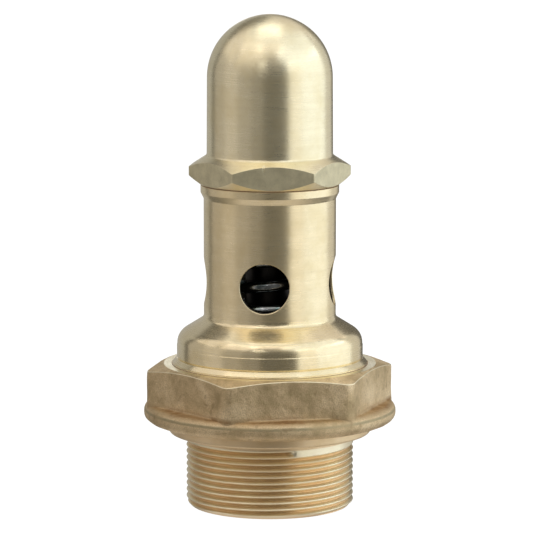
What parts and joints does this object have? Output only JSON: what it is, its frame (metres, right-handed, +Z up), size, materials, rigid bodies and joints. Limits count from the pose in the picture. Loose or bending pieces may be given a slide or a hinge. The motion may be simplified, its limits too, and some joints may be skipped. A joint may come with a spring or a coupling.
{
  "type": "pressure relief valve",
  "caption": "Brass spring-loaded pressure relief valve: male pipe-thread inlet, flange and spanner hexagon, open spring housing with round blow-off ports, and a domed screw cap.",
  "frame": {"origin": "on the valve's axis, at the lower end of the inlet thread, which is the middle of the bottom of its box", "axes": "+Z up the valve's axis, from the inlet thread to the domed cap; the ports look out along +X, -X, +Y and -Y"},
  "size_m": [0.0898, 0.0898, 0.175],
  "materials": {
    "cast_brass": "sand-cast, grainy, with a machined thread",
    "turned_brass": "satin turned",
    "stainless_steel": "machined",
    "spring_steel": "drawn wire, lightly oiled",
    "plated_steel": "zinc plated",
    "blackened_steel": "phosphated black, oiled",
    "seal_rubber": "matte",
    "fibre": "matte pressed fibre",
    "copper": "annealed soft copper"
  },
  "bodies": {
    "housing": {"inlet_body": "cast_brass", "seat_ring": "stainless_steel", "seat_gasket": "copper", "body_gasket": "fibre", "spring_housing": "turned_brass", "spindle_guide": "turned_brass", "spring": "spring_steel", "lock_washer": "plated_steel"},
    "valve_group": {"valve_disc": "turned_brass", "disc_seal": "seal_rubber", "seal_retainer": "stainless_steel", "retainer_screw": "stainless_steel", "thrust_ball": "stainless_steel", "disc_snap_ring": "spring_steel", "spindle": "stainless_steel", "plate_ring": "spring_steel", "lower_spring_plate": "blackened_steel"},
    "spring_carrier": {"upper_spring_plate": "plated_steel", "thrust_washer": "stainless_steel"},
    "adjuster": {"adjusting_screw": "turned_brass"},
    "lock": {"locknut": "turned_brass"},
    "cap_seat": {"cap_gasket": "fibre"},
    "cap_body": {"cap": "turned_brass"}
  },
  "joints": [
    {"name": "valve_lift", "type": "slide", "parent": "housing", "child": "valve_group", "axis": [0, 0, 1], "range_m": [0, 0.007], "stiffness_N_per_m": 35000, "springref_m": -0.004, "deforming": ["spring"]},
    {"name": "spring_load", "type": "slide", "parent": "housing", "child": "spring_carrier", "axis": [0, 0, 1], "range_m": [-0.002, 0.003], "deforming": ["spring"]},
    {"name": "adjust_turn", "type": "hinge", "parent": "spring_carrier", "child": "adjuster", "pos_m": [0, 0, 0.118], "axis": [0, 0, 1], "range_deg": [-480, 720]},
    {"name": "locknut_turn", "type": "hinge", "parent": "housing", "child": "lock", "pos_m": [0, 0, 0.13], "axis": [0, 0, 1], "range_deg": [0, 60]},
    {"name": "cap_rise", "type": "slide", "parent": "housing", "child": "cap_seat", "axis": [0, 0, 1], "range_m": [0, 0.009]},
    {"name": "cap_unscrew", "type": "hinge", "parent": "cap_seat", "child": "cap_body", "pos_m": [0, 0, 0.12], "axis": [0, 0, 1], "range_deg": [0, 2160]}
  ],
  "couplings": [
    {"joint": "spring_load", "follows": "adjust_turn", "m_per_rad": 0.00023873},
    {"joint": "cap_rise", "follows": "cap_unscrew", "m_per_rad": 0.00023873}
  ]
}
